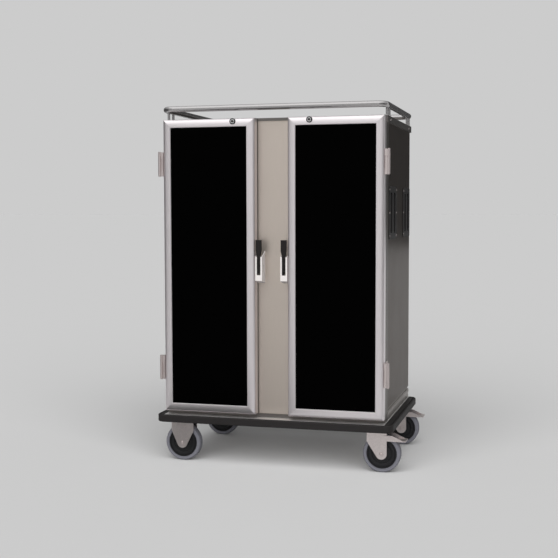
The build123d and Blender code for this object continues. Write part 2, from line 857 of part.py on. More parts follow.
def door_hinge_leaves():
    """Leaves on the door's side, each with an upper and a lower knuckle."""
    leaves = []
    for hinge_bottom in hinge_bottoms:
        bottom, middle_bottom, middle_top, top = hinge_levels(hinge_bottom)
        plate_front = door_front + door_edge_round
        leaf = block(side, side + door_leaf_sheet, plate_front, plate_front + door_leaf_depth, bottom, top)
        for z0, z1 in ((bottom, middle_bottom - knuckle_gap), (middle_top + knuckle_gap, top)):
            leaf += block(side, hinge_x, hinge_y, hinge_y + lug_depth, z0, z1)
            leaf += rod_z(z0, z1, hinge_x, hinge_y, knuckle_radius)
        leaf -= rod_z(bottom - cut, top + cut, hinge_x, hinge_y, hinge_pin_radius + running_gap)
        leaves.append(leaf)
    return leaves


def cabinet_hinge_leaves():
    """Leaves on the face frame's sides, each reaching forward to the middle knuckle."""
    leaves = []
    arm_x = side + door_leaf_sheet + arm_gap
    arm_front = hinge_y + arm_setback
    for hinge_bottom in hinge_bottoms:
        bottom, middle_bottom, middle_top, top = hinge_levels(hinge_bottom)
        leaf = block(side, side + cabinet_leaf_sheet, frame_front, frame_front + cabinet_leaf_depth, bottom, top)
        leaf += block(arm_x, arm_x + arm_thick, arm_front, frame_front, middle_bottom, middle_top)
        leaf += block(side, arm_x + arm_thick, frame_front, frame_front + arm_foot_depth,
                      middle_bottom, middle_top)
        leaf += block(arm_x, hinge_x + arm_web_out, arm_front - arm_web_front, arm_front + arm_web_back,
                      middle_bottom, middle_top)
        leaf += rod_z(middle_bottom, middle_top, hinge_x, hinge_y, knuckle_radius)
        leaf -= rod_z(bottom - cut, top + cut, hinge_x, hinge_y, hinge_pin_radius + running_gap)
        leaves.append(leaf)
    return leaves


def hinge_pins():
    """Pins through the knuckles, headed at the top."""
    pins = []
    for bottom in hinge_bottoms:
        top = bottom + hinge_height
        head_bottom = top + hinge_pin_head_gap
        pin = rod_z(bottom - hinge_pin_head, head_bottom, hinge_x, hinge_y, hinge_pin_radius)
        head = rod_z(head_bottom, head_bottom + hinge_pin_head, hinge_x, hinge_y, hinge_pin_head_radius)
        pins.append(pin + head)
    return pins


# Doors, drawn on the right

def door_shell():
    """The door's rounded outer shape, open at the back and to the front panel."""
    outer = block(door_in, door_out, door_front, door_back - skin_sheet, door_bottom, door_top)
    outer = fillet(outer.faces().sort_by(Axis.Y)[0].edges(), door_edge_round)
    inner = block(door_in + door_wall, door_out - door_wall, door_front + door_wall, door_back,
                  door_bottom + door_wall, door_top - door_wall)
    inner = fillet(inner.faces().sort_by(Axis.Y)[0].edges(), door_edge_round - door_wall)
    window = block(door_in + frame_face, door_out - frame_face, door_front - cut, door_back,
                   door_bottom + frame_face, door_top - frame_face)
    shell = outer - inner - window
    middle = Plane(origin=((door_in + door_out) / 2, door_front, (door_bottom + door_top) / 2),
                   x_dir=(1, 0, 0), z_dir=(0, 1, 0))
    mouth = Rectangle(door_width - 2 * frame_face + 2 * frame_bevel,
                      door_height - 2 * frame_face + 2 * frame_bevel)
    shell -= extrude(middle * mouth, amount=frame_bevel, taper=45)
    shell -= lock_bore(lock_body_radius)
    shell -= keeper_mouth()
    return shell


def door_frame():
    """The frame's four bars, mitred at the corners."""
    shell = door_shell()
    reach = door_width / 2
    outlines = [
        [(door_in, door_bottom), (door_out, door_bottom), (door_in + reach, door_bottom + reach)],
        [(door_in, door_top), (door_out, door_top), (door_in + reach, door_top - reach)],
        [(door_in, door_bottom), (door_in, door_top), (door_in + reach, door_top - reach),
         (door_in + reach, door_bottom + reach)],
        [(door_out, door_bottom), (door_out, door_top), (door_in + reach, door_top - reach),
         (door_in + reach, door_bottom + reach)],
    ]
    return [shell & prism_y(outline, door_front - cut, door_back + cut) for outline in outlines]


def lock_bore(radius):
    """The hole through the door for the lock."""
    return rod_y(door_front - cut, door_back + cut, lock_x, lock_z, radius)


def keeper_mouth():
    """The window in the door's inner edge that faces the latch bolt, and the room behind it."""
    half = bolt_width / 2 + keeper_gap
    return block(door_in - cut, door_in + keeper_depth, bolt_y - half, bolt_y + half,
                 bolt_bottom - keeper_gap, bolt_bottom + bolt_nose_height + keeper_gap)


def front_panel():
    """The dark sheet that fills the door's frame."""
    inset = frame_face - front_panel_lap
    y0 = door_front + door_wall
    return [block(door_in + inset, door_out - inset, y0, y0 + front_panel_sheet,
                  door_bottom + inset, door_top - inset)]


def door_core():
    """The door's foam."""
    core = block(door_in + door_wall, door_out - door_wall, door_front + door_wall + front_panel_sheet,
                 door_back - skin_sheet, door_bottom + door_wall, door_top - door_wall)
    core = fillet(core.faces().sort_by(Axis.Y)[0].edges(), door_edge_round - door_wall + core_round_extra)
    core -= lock_bore(lock_body_radius + soft_gap)
    core -= keeper_mouth()
    return [core]


def inner_skin():
    """The sheet that closes the door's back."""
    skin = block(door_in, door_out, door_back - skin_sheet, door_back, door_bottom, door_top)
    return [skin - lock_bore(lock_body_radius)]


def gasket():
    """The seal on the door's back, round the compartment's mouth."""
    near = gasket_margin
    far = gasket_margin + gasket_width
    ring = block(mouth_in - far, mouth_out + far, door_back, door_back + gasket_depth,
                 mouth_bottom - far, mouth_top + far)
    ring -= block(mouth_in - near, mouth_out + near, door_back - cut, door_back + gasket_depth + cut,
                  mouth_bottom - near, mouth_top + near)
    return [ring]


def lock_barrel():
    """The lock's body through the door, with a ring on the front."""
    body = rod_y(door_front, door_back, lock_x, lock_z, lock_body_radius)
    ring = rod_y(door_front - lock_ring, door_front, lock_x, lock_z, lock_ring_radius)
    ring = fillet(ring.edges().sort_by(Axis.Y)[0], lock_ring_round)
    bore = rod_y(door_front - lock_ring - cut, door_back + cut, lock_x, lock_z, plug_radius + running_gap)
    return [body + ring - bore]


def lock_plug():
    """The turning plug, slotted for a key, with the cam on its end."""
    cam_front = liner_front + cam_gap
    plug = rod_y(door_front - lock_ring + plug_setback, cam_front + cam_thick, lock_x, lock_z, plug_radius)
    plug += block(lock_x - cam_half_width, lock_x + cam_half_width, cam_front, cam_front + cam_thick,
                  lock_z - cam_length, lock_z)
    plug -= block(lock_x - key_slot_width / 2, lock_x + key_slot_width / 2, door_front - lock_ring - cut,
                  door_front - lock_ring + plug_setback + key_slot_depth, lock_z - key_slot_height / 2,
                  lock_z + key_slot_height / 2)
    return [plug]


# Latches, drawn on the right

def latch_housing():
    """A folded steel channel over the lever's foot, slotted for the stem."""
    z_top_back = latch_face_top + latch_cheek_rise
    z_bottom_back = latch_face_bottom - latch_foot_drop
    outline = [(latch_face, latch_face_bottom), (latch_face, latch_face_top),
               (centre_face, z_top_back), (centre_face, z_bottom_back)]
    housing = prism_x(outline, latch_in, latch_out)
    inner = [(latch_face + latch_sheet, latch_face_bottom + latch_sheet),
             (latch_face + latch_sheet, z_top_back + cut), (centre_face + cut, z_top_back + cut),
             (centre_face + cut, z_bottom_back + latch_sheet)]
    housing -= prism_x(inner, latch_in + latch_sheet, latch_out - latch_sheet)
    slot_half = stem_width / 2 + slot_clear
    housing -= block(latch_mid - slot_half, latch_mid + slot_half, latch_face - cut,
                     latch_face + latch_sheet + cut, lever_pivot_z - slot_below_pivot, z_top_back)
    window = bolt_window_gap
    housing -= block(latch_out - latch_sheet - cut, latch_out + cut, bolt_y - bolt_width / 2 - window,
                     bolt_y + bolt_width / 2 + window, bolt_bottom - window,
                     bolt_bottom + bolt_nose_height + window)
    for y, z, radius in latch_pin_axes():
        housing -= rod_x(latch_in - cut, latch_out + cut, y, z, radius + running_gap)
    return [housing]


def latch_pin_axes():
    """The lever's pivot pin and the bolt's guide rod."""
    return [(lever_pivot_y, lever_pivot_z, lever_pin_radius), (bolt_y, rod_z_height(), bolt_rod_radius)]


def rod_z_height():
    """Height of the bolt's guide rod, above the nose."""
    return bolt_bottom + bolt_body_height - rod_below_top


def latch_pins():
    """Both pins of the latch, from cheek to cheek."""
    return [rod_x(latch_in, latch_out, y, z, radius) for y, z, radius in latch_pin_axes()]


def latch_lever():
    """A stem in the housing's slot, a boss on the pin and a wider paddle above."""
    stem_front = latch_face - stem_proud
    foot = lever_pivot_z - stem_below_pivot
    half = stem_width / 2
    stem = block(latch_mid - half, latch_mid + half, stem_front, stem_front + stem_thick, foot, paddle_top)
    inner_half = latch_width / 2 - latch_sheet - lever_side_gap
    boss = rod_x(latch_mid - inner_half, latch_mid + inner_half, lever_pivot_y, lever_pivot_z, lever_boss_radius)
    web = block(latch_mid - half, latch_mid + half, stem_front + stem_thick, lever_pivot_y,
                foot, lever_pivot_z + lever_boss_radius)
    wide = paddle_width / 2
    outline = [(latch_mid - half, paddle_bottom - paddle_taper), (latch_mid + half, paddle_bottom - paddle_taper),
               (latch_mid + wide, paddle_bottom), (latch_mid + wide, paddle_top),
               (latch_mid - wide, paddle_top), (latch_mid - wide, paddle_bottom)]
    paddle = prism_y(outline, stem_front, stem_front + stem_thick)
    lever = stem + web + paddle
    front_edges = lever.faces().sort_by(Axis.Y)[0].edges()
    lever = fillet(front_edges, lever_edge_round)
    lever += boss
    lever -= rod_x(latch_in, latch_out, lever_pivot_y, lever_pivot_z, lever_pin_radius + running_gap)
    return [lever]


def latch_bolt():
    """The bolt: a block that slides on the guide rod, with a nose in the cheek's window."""
    body_right = latch_out - latch_sheet - bolt_cheek_gap
    half = bolt_width / 2
    bolt = block(body_right - bolt_body_length, body_right, bolt_y - half, bolt_y + half,
                 bolt_bottom, bolt_bottom + bolt_body_height)
    bolt += block(body_right, latch_out + bolt_nose_reach, bolt_y - half, bolt_y + half,
                  bolt_bottom, bolt_bottom + bolt_nose_height)
    bolt -= rod_x(latch_in, latch_out, bolt_y, rod_z_height(), bolt_rod_radius + running_gap)
    return [bolt]


def all_nodes():
    """Every piece by name, each a list of solids."""
    nodes = {
        "chassis_tray": chassis_tray(),
        "buffer_ring": buffer_ring(),
        "bottom_frame": bottom_frame(),
        "front_frame": front_frame(),
        "roof_panel": roof_panel(),
        "back_panel": back_panel(),
        "centre_panel": centre_panel(),
        "left_liner": liner(0),
        "right_liner": liner(1),
        "insulation": insulation(),
        "tray_runners": tray_runners(),
        "panel_screws": panel_screws(),
        "guard_rail": guard_rail(),
        "fixed_forks": fixed_forks(),
        "fixed_axles": [axle(fixed_x, -castor_row_y), axle(fixed_x, castor_row_y)],
        "swivel_plates": swivel_plates(),
        "castor_bolts": castor_bolts(),
    }
    pins = latch_pins()
    nodes["latch_pins"] = pins + other_side(pins)
    leaves = cabinet_hinge_leaves()
    nodes["cabinet_hinge_leaves"] = leaves + other_side(leaves)
    pins = hinge_pins()
    nodes["hinge_pins"] = pins + other_side(pins)
    paired = {
        "side_panel": side_panel(),
        "push_handles": push_handles(),
        "latch_housing": latch_housing(),
        "latch_lever": latch_lever(),
        "latch_bolt": latch_bolt(),
        "door_frame": door_frame(),
        "door_front_panel": front_panel(),
        "door_core": door_core(),
        "door_inner_skin": inner_skin(),
        "door_gasket": gasket(),
        "lock_barrel": lock_barrel(),
        "lock_plug": lock_plug(),
        "door_hinge_leaves": door_hinge_leaves(),
    }
    for name, solids in paired.items():
        nodes["right_" + name] = solids
        nodes["left_" + name] = other_side(solids)
    for end, y in (("front", -castor_row_y), ("rear", castor_row_y)):
        nodes["right_" + end + "_fork"] = swivel_fork(y)
        nodes["right_" + end + "_axle"] = [axle(swivel_wheel_x, y)]
        nodes["right_" + end + "_brake_pedal"] = brake_pedal(y)
        for where, x in (("left", fixed_x), ("right", swivel_wheel_x)):
            nodes[where + "_" + end + "_tyre"] = tyre(x, y)
            nodes[where + "_" + end + "_wheel_core"] = wheel_core(x, y)
    return nodes


os.makedirs("parts", exist_ok=True)
for node, solids in all_nodes().items():
    placed = [Pos(shift_x, 0, 0) * solid for solid in solids]
    bodies = [body for solid in placed for body in solid.solids()]
    shape = bodies[0] if len(bodies) == 1 else Compound(bodies)
    export_step(shape, "parts/" + node + ".step")
    print(node, len(bodies), "solids")
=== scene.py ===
# %% [markdown]
# An insulated food transport cart: a steel cabinet with two tall dark doors, on four castors. The measured
# model comes in as a fixed frame, in metres, with Z up and the doors facing -Y. This script dresses it: a
# finish for every surface, and finer pieces where the eye looks closer.

import math

import bmesh
import bpy
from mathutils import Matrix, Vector


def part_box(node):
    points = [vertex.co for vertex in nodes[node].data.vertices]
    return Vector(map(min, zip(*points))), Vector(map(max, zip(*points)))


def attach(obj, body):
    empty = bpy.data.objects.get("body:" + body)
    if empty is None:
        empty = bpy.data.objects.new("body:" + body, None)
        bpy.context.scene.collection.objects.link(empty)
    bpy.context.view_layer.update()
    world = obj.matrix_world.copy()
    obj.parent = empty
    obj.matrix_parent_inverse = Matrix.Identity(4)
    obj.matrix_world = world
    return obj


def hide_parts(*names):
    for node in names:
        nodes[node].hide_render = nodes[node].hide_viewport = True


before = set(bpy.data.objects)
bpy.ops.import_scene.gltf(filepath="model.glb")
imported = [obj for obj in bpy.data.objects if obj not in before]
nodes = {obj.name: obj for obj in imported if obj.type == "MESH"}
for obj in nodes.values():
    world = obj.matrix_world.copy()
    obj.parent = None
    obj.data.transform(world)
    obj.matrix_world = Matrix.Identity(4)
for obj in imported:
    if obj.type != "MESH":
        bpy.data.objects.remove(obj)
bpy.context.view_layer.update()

MM = 0.001

# %% [markdown]
# The camera comes first, because it decides how fine the detail has to be. It stands at the height of the
# latches, a little to the right of the cart, and looks slightly down. A long lens keeps the doors upright.

# %% Camera
CAMERA_PLACE = Vector((1274.8, -5007.2, 1189.6)) * MM
CAMERA_TURN = 15.24        # degrees, towards the cart's left
CAMERA_TILT = -3.78        # degrees, downwards
CAMERA_ROLL = 0.12
CAMERA_LENS = 68.64

camera_data = bpy.data.cameras.new("camera")
camera_data.lens = CAMERA_LENS
camera_data.sensor_width = 36.0
camera_data.clip_end = 400.0
camera = bpy.data.objects.new("camera", camera_data)
camera.location = CAMERA_PLACE
camera.rotation_euler = (math.radians(90 + CAMERA_TILT), math.radians(CAMERA_ROLL), math.radians(CAMERA_TURN))
bpy.context.scene.collection.objects.link(camera)
bpy.context.scene.camera = camera
print("camera at", [round(v, 3) for v in camera.location])

# %% [markdown]
# Colours are picked as sRGB hex, the way a colour picker shows them, but a shader works in linear light.
# One function turns the first into the second, and one adds a shader node with its settings and links. A
# material is then a short list of such nodes, which can be read from its coordinates to its shader.

# %% Colour and node helpers
def linear(hex_colour, factor=1.0):
    """Turns an sRGB hex colour into linear RGBA, made darker or lighter by a factor."""
    channels = [int(hex_colour[i:i + 2], 16) / 255 for i in (1, 3, 5)]
    straight = [c / 12.92 if c <= 0.04045 else ((c + 0.055) / 1.055) ** 2.4 for c in channels]
    return tuple([min(1.0, c * factor) for c in straight] + [1.0])


def add(tree, kind, **given):
    """Adds a node. A lower-case name sets a property, and any other name fills or links an input."""
    made = tree.nodes.new("ShaderNode" + kind)
    for name, value in given.items():
        if name[0].islower():
            setattr(made, name, value)
            continue
        socket = made.inputs[int(name[1:])] if name[1:].isdigit() else made.inputs[name.replace("_", " ")]
        if isinstance(value, bpy.types.NodeSocket):
            tree.links.new(value, socket)
        else:
            socket.default_value = value
    return made


def new_material(name):
    """Makes a material with an empty tree, and hands back the tree and its object coordinates."""
    material = bpy.data.materials.new(name)
    material.use_nodes = True
    material.node_tree.nodes.clear()
    coordinates = add(material.node_tree, "TexCoord").outputs["Object"]
    return material, material.node_tree, coordinates


def two_tones(tree, value, colour, contrast):
    """A colour that a value from 0 to 1 moves a little darker or lighter."""
    mixed = add(tree, "Mix", data_type="RGBA", Factor=value)
    mixed.inputs[6].default_value = linear(colour, 1 - contrast)
    mixed.inputs[7].default_value = linear(colour, 1 + contrast)
    return mixed.outputs[2]


def around(tree, value, middle_value, reach):
    """Maps a value from 0 to 1 onto a range around a middle value."""
    mapped = add(tree, "MapRange", Value=value, To_Min=middle_value - reach, To_Max=middle_value + reach)
    return mapped.outputs["Result"]


def finish_material(tree, **given):
    """Ends a tree with one shader on the material's output."""
    shader = add(tree, "BsdfPrincipled", **given)
    add(tree, "OutputMaterial", Surface=shader.outputs["BSDF"])


print("helpers ready")

# %% [markdown]
# The stage is a pale floor that runs on into an even sky of the same grey, as in a catalogue picture. Sky
# and sun together light a level surface at exactly 1, so a colour renders as it is written, and the floor
# meets the sky without a line. The sun is 76 degrees wide, which makes its shadows soft.

# %% Sky, sun and floor
BACKDROP = "#cccccc"
SKY_LEVEL = 0.25
SUN_FROM = Vector((0.14, -0.77, 0.64)).normalized()
SUN_WIDTH = 76.0           # degrees
FLOOR_SIZE = 400.0

world = bpy.data.worlds.new("even sky")
bpy.context.scene.world = world
world.use_nodes = True
world.node_tree.nodes.clear()
path = add(world.node_tree, "LightPath").outputs
seen = add(world.node_tree, "Math", operation="MAXIMUM", _0=path["Is Camera Ray"], _1=path["Is Glossy Ray"])
seen = add(world.node_tree, "Math", operation="MAXIMUM", _0=seen.outputs[0], _1=path["Is Transmission Ray"])
shown = add(world.node_tree, "Background", Color=linear(BACKDROP), Strength=1.0)
lighting = add(world.node_tree, "Background", Color=linear("#ffffff"), Strength=SKY_LEVEL)
mixed = add(world.node_tree, "MixShader", _0=seen.outputs[0], _1=lighting.outputs[0], _2=shown.outputs[0])
add(world.node_tree, "OutputWorld", Surface=mixed.outputs[0])

sun_data = bpy.data.lights.new("wide soft sun", "SUN")
sun_data.angle = math.radians(SUN_WIDTH)
sun_data.energy = math.pi * (1 - SKY_LEVEL) / SUN_FROM.z
sun = bpy.data.objects.new("wide soft sun", sun_data)
sun.rotation_euler = SUN_FROM.to_track_quat("Z", "Y").to_euler()
sun.visible_glossy = False
bpy.context.scene.collection.objects.link(sun)


def plain_sheet(name, corners, material):
    """A flat four-cornered sheet that belongs to the stage."""
    mesh = bpy.data.meshes.new(name)
    mesh.from_pydata(corners, [], [(0, 1, 2, 3)])
    mesh.materials.append(material)
    made = bpy.data.objects.new(name, mesh)
    bpy.context.scene.collection.objects.link(made)
    return made


floor_paint, tree, where = new_material("matt pale studio floor")
dust = add(tree, "TexNoise", Vector=where, Scale=3.0, Detail=2.0).outputs["Fac"]
finish_material(tree, Base_Color=two_tones(tree, dust, BACKDROP, 0.004), Roughness=1.0,
                Specular_IOR_Level=0.0)
half = FLOOR_SIZE / 2
plain_sheet("floor", [(-half, -half, 0), (half, -half, 0), (half, half, 0), (-half, half, 0)], floor_paint)
bpy.context.scene.view_settings.view_transform = "Standard"
print("sun", round(sun_data.energy, 3), "sky", SKY_LEVEL)

# %% [markdown]
# Metal has no look of its own: it shows what stands around it. A photographer sets dark flags beside
# bright metal to give it dark edges, and hangs a bright panel overhead for its upper edges. These are seen
# by reflections alone, so they neither show nor shade, and the sun in turn is left out of the reflections.
# One flag behind the cart darkens its sides from the latches up. The flag and the cards at the left and
# right and on the floor give the swelling door frames their gradients.

# %% Flags and the overhead panel
PANEL_GLOW = 1.35          # times as bright as a white wall
PANEL_HEIGHT = 6.0
LEFT_STAND = -2.6          # where the flags and cards stand, in metres
RIGHT_STAND = 3.0
BACK_STAND = 2.5
CARD_TOP = 2.6
FLAG_BOTTOM = 0.92         # the flag behind begins at the height of the latches
FLAG_TOP = 3.4
FLAG_HALF = 3.4
ABOVE_FLOOR = 0.001


def across_x(x, front, back, bottom, top):
    """The corners of an upright sheet that faces along X."""
    return [(x, front, bottom), (x, back, bottom), (x, back, top), (x, front, top)]


def lying(left, right, front, back, z):
    """The corners of a level sheet."""
    return [(left, front, z), (right, front, z), (right, back, z), (left, back, z)]


def flag_cloth(name, colour):
    """Matt cloth with a weave of faintly lighter and darker threads."""
    material, tree, where = new_material(name)
    weave = add(tree, "TexNoise", Vector=where, Scale=400.0, Detail=1.0).outputs["Fac"]
    finish_material(tree, Base_Color=two_tones(tree, weave, colour, 0.1), Roughness=1.0,
                    Specular_IOR_Level=0.0)
    return material


behind = [(-FLAG_HALF, BACK_STAND, FLAG_BOTTOM), (FLAG_HALF, BACK_STAND, FLAG_BOTTOM),
          (FLAG_HALF, BACK_STAND, FLAG_TOP), (-FLAG_HALF, BACK_STAND, FLAG_TOP)]
flags = [
    plain_sheet("flag_behind", behind, flag_cloth("grey flag cloth", "#4a4a4a")),
    plain_sheet("flag_left", across_x(LEFT_STAND, -1.7, 1.7, 0, CARD_TOP),
                flag_cloth("dark flag cloth", "#7a7a7a")),
    plain_sheet("card_left", across_x(LEFT_STAND, -5.5, -1.7, 0, CARD_TOP),
                flag_cloth("pale grey card", "#d4d4d4")),
    plain_sheet("card_right", across_x(RIGHT_STAND, -5.0, 0.3, 0, CARD_TOP),
                flag_cloth("grey card", "#b4b4b4")),
    plain_sheet("card_on_floor", lying(-1.1, -0.1, -1.9, -0.45, ABOVE_FLOOR),
                flag_cloth("dark grey card", "#5a5a5a")),
]
glow = bpy.data.materials.new("overhead light panel")
glow.use_nodes = True
glow.node_tree.nodes.clear()
shine = add(glow.node_tree, "Emission", Color=linear("#ffffff"), Strength=PANEL_GLOW)
add(glow.node_tree, "OutputMaterial", Surface=shine.outputs[0])
flags.append(plain_sheet("overhead_panel", lying(-5, 5, -12, 0.5, PANEL_HEIGHT), glow))
for flag in flags:
    flag.visible_camera = False
    flag.visible_diffuse = False
    flag.visible_transmission = False
    flag.visible_shadow = False
print("flags and panel", len(flags))

# %% [markdown]
# Brushed and rolled metals carry fine parallel lines. Real brushing is about 0.2 mm wide, far under a
# pixel here, so it is drawn 0.5 to 1.2 mm wide with little contrast. Noise drawn out along one axis gives
# such lines. A second, broad noise makes the faint clouds that wiping leaves, and only moves the
# roughness.

# %% Brushed metals
BRUSH_LENGTH = 60.0        # times as long as wide


def streaks(tree, coordinates, along, width):
    """Noise in lines along one axis, each about as wide as given, in metres."""
    scales = [1 / width, 1 / width, 1 / width]
    scales["XYZ".index(along)] = 1 / (width * BRUSH_LENGTH)
    stretched = add(tree, "Mapping", Vector=coordinates, Scale=tuple(scales))
    return add(tree, "TexNoise", Vector=stretched.outputs["Vector"], Scale=1.0, Detail=2.0).outputs["Fac"]


def brushed_metal(name, colour, roughness, along, width=1.2 * MM, contrast=0.05, edge=1.0):
    """A metal whose brushing shows as faint lines along one axis, and how bright it turns at a low angle."""
    material, tree, where = new_material(name)
    lines = streaks(tree, where, along, width)
    clouds = add(tree, "TexNoise", Vector=where, Scale=7.0, Detail=2.0).outputs["Fac"]
    rough = add(tree, "Math", operation="ADD", _0=around(tree, lines, roughness, 0.03),
                _1=around(tree, clouds, 0.0, 0.04))
    bump = add(tree, "Bump", Height=lines, Strength=0.1, Distance=0.05 * MM)
    finish_material(tree, Base_Color=two_tones(tree, lines, colour, contrast), Metallic=1.0,
                    Roughness=rough.outputs[0], Specular_Tint=(edge, edge, edge, 1.0),
                    Normal=bump.outputs["Normal"])
    return material


# Door frames: aluminium pressed through a die, etched and anodised. A silky, nearly white shine.
anodised = brushed_metal("satin anodised aluminium extrusion", "#f1ebed", 0.38, "Z")
# Plinth: the same kind of section with a grey dye in its skin.
grey_anodised = brushed_metal("grey anodised aluminium", "#9c9793", 0.42, "Z")
# Face frame: dyed darker still, so the pale doors stand out from it.
dark_anodised = brushed_metal("dark anodised aluminium", "#716d6a", 0.42, "Z")
# Centre sheet: stainless steel ground on a belt, warm in tone, with soft reflections.
centre_steel = brushed_metal("brushed stainless centre sheet", "#dbd0c6", 0.46, "Z")
# Sides and back: a smoother sheet that shows its surroundings, and shines less along its face.
# Its colour, and the grey tint that dims it at a low angle, are partly painted shade: set far darker
# than the centre sheet's stainless, for the darker light along the sides.
side_steel_with_painted_shade = brushed_metal("brushed stainless side sheet with painted shade", "#7d7570", 0.30, "Z", contrast=0.03, edge=0.55)
# Roof: the same sheet, folded down at the rim. Its colour is partly painted shade, set far darker than
# stainless, like the sides.
roof_steel_with_painted_shade = brushed_metal("folded stainless roof sheet with painted shade", "#7f7b78", 0.30, "Y", contrast=0.03)
# Liners and inner skins: pale ground steel that wipes clean.
liner_steel = brushed_metal("brushed stainless liner", "#cfcdca", 0.35, "Z")
# Chassis tray: folded aluminium as it leaves the rolls, nearly white and rather dull.
tray_steel = brushed_metal("folded aluminium tray", "#f4f2f1", 0.55, "X")
# Guard rail: drawn tube, ground lengthwise until the light runs along it in bands.
tube_steel = brushed_metal("ground stainless tube", "#b7b5b5", 0.15, "X", width=0.8 * MM, contrast=0.02)
# Lock rings: brass under bright chrome, nearly a mirror.
lock_chrome = brushed_metal("chrome plated lock", "#f2f2f2", 0.12, "X", width=0.5 * MM, contrast=0.01)
print("brushed metals ready")

# %% [markdown]
# The small hardware is pressed and then plated. Zinc plate shows a soft patchwork of crystals. It comes
# from a cell pattern whose cells differ slightly in tone, with a fine bump for the surface.

# %% Plated metals
def plated_metal(name, colour, roughness, cell=5.0 * MM, contrast=0.06):
    """A plated metal: a patchwork of slightly different tones over a fine grain."""
    material, tree, where = new_material(name)
    cells = add(tree, "TexVoronoi", Vector=where, Scale=1 / cell)
    grey = add(tree, "RGBToBW", Color=cells.outputs["Color"])
    grain = add(tree, "TexNoise", Vector=where, Scale=1 / (0.8 * MM), Detail=2.0).outputs["Fac"]
    bump = add(tree, "Bump", Height=grain, Strength=0.15, Distance=0.1 * MM)
    finish_material(tree, Base_Color=two_tones(tree, grey.outputs[0], colour, contrast), Metallic=1.0,
                    Roughness=around(tree, grain, roughness, 0.05), Normal=bump.outputs["Normal"])
    return material


# Forks, pedals and plates: pressed steel under clear zinc, silvery and a little patchy.
zinc = plated_metal("zinc plated pressing", "#dcd3d1", 0.42)
# Latch pins: steel rod under zinc that has dulled.
dark_zinc = plated_metal("dull zinc plated pin", "#a39c97", 0.36)
# Hinges and small screws: steel under satin nickel, a warm pale grey.
hinge_steel = plated_metal("satin nickel plated hinge", "#ddd2d0", 0.40, cell=2.0 * MM, contrast=0.02)
# Lock plugs: brass under dark nickel.
plug_steel = plated_metal("dark nickel lock plug", "#3a3736", 0.35, cell=2.0 * MM, contrast=0.02)
print("plated metals ready")

# %% [markdown]
# The plastics and rubbers are moulded. A moulded face carries the fine spark grain of its mould, about 0.3
# mm, drawn at 1 mm here so that it shows up close. Rubber is duller and a little greyer where it is
# rubbed, and the grey tyres are the soft non-marking kind that hospitals ask for. The latch housings are
# powder coated: a pale paint with the same fine grain, which scatters light evenly.

# %% Plastics, rubber, paint and foam
def moulded(name, colour, roughness, grain=1.0 * MM, level=0.5, contrast=0.10, depth=0.1 * MM):
    """A plastic or rubber with the grain of its mould and faint wear in broad patches."""
    material, tree, where = new_material(name)
    fine = add(tree, "TexNoise", Vector=where, Scale=1 / grain, Detail=2.0).outputs["Fac"]
    worn = add(tree, "TexNoise", Vector=where, Scale=14.0, Detail=3.0).outputs["Fac"]
    bump = add(tree, "Bump", Height=fine, Strength=0.2, Distance=depth)
    finish_material(tree, Base_Color=two_tones(tree, worn, colour, contrast), Metallic=0.0,
                    Roughness=around(tree, worn, roughness, 0.06), Specular_IOR_Level=level,
                    Normal=bump.outputs["Normal"])
    return material


# Door fronts: paper and resin pressed hot, black all through, with hardly any shine.
door_laminate = moulded("black high pressure laminate", "#010101", 0.22, level=0.01, depth=0.02 * MM)
# Buffer: rubber extruded in one length, dull where it is rubbed.
buffer_rubber = moulded("black extruded buffer rubber", "#211f1f", 0.60, level=0.20)
# Push handles: nylon with glass fibre, which leaves a faint grain.
handle_plastic = moulded("black glass filled nylon", "#1c1b1b", 0.50, level=0.30)
# Levers: a moulding a shade lighter than the doors.
lever_plastic = moulded("charcoal moulded lever", "#1c1a1a", 0.55, level=0.15)
# Wheel cores: polypropylene, slightly blue in its black.
hub_plastic = moulded("black polypropylene wheel core", "#151517", 0.50, level=0.30)
# Tyres: soft grey rubber that leaves no marks on a ward's floor.
tyre_rubber = moulded("grey thermoplastic rubber tyre", "#68686f", 0.65, level=0.25, contrast=0.05)
# Latch housings: powder melted on to folded steel, pale and evenly matt.
latch_paint = moulded("pale powder coat", "#cec9c7", 0.50, level=0.4, contrast=0.02)
# Door gaskets: a soft hollow profile.
gasket_rubber = moulded("black door gasket", "#141414", 0.60, level=0.30)
# Rings under the locks: a thin dark washer.
washer_rubber = moulded("black lock gasket", "#080808", 0.60, level=0.10)
# Insulation: rigid foam, yellowish and full of fine cells.
foam = moulded("rigid polyurethane foam", "#d8c79a", 0.85, grain=2.0 * MM, depth=0.4 * MM)
print("plastics ready")

# %% [markdown]
# Pieces are built as meshes. One helper turns a finished bmesh into an object that rides on a moving body,
# and marks an edge as sharp only where it really is. Another sweeps an outline round an axis, as a lathe
# would, which suits everything round on this cart: tyres, wheel cores, bolts, screws and locks. A third
# draws the low domed head of a screw or a bolt.

# %% Mesh helpers
DOME_STEPS = 6


def make_piece(name, bm, material, body, *replaced, sharp=35):
    """Turns a bmesh into an object that rides on a body, and may stand for nodes of the frame."""
    bmesh.ops.remove_doubles(bm, verts=bm.verts, dist=1e-7)
    bmesh.ops.recalc_face_normals(bm, faces=bm.faces)
    mesh = bpy.data.meshes.new(name)
    bm.to_mesh(mesh)
    bm.free()
    mesh.materials.append(material)
    mesh.shade_smooth()
    mesh.set_sharp_from_angle(angle=math.radians(sharp))
    made = bpy.data.objects.new(name, mesh)
    bpy.context.scene.collection.objects.link(made)
    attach(made, body)
    if replaced:
        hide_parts(*replaced)
    print("made", name, len(mesh.polygons), "faces")
    return made


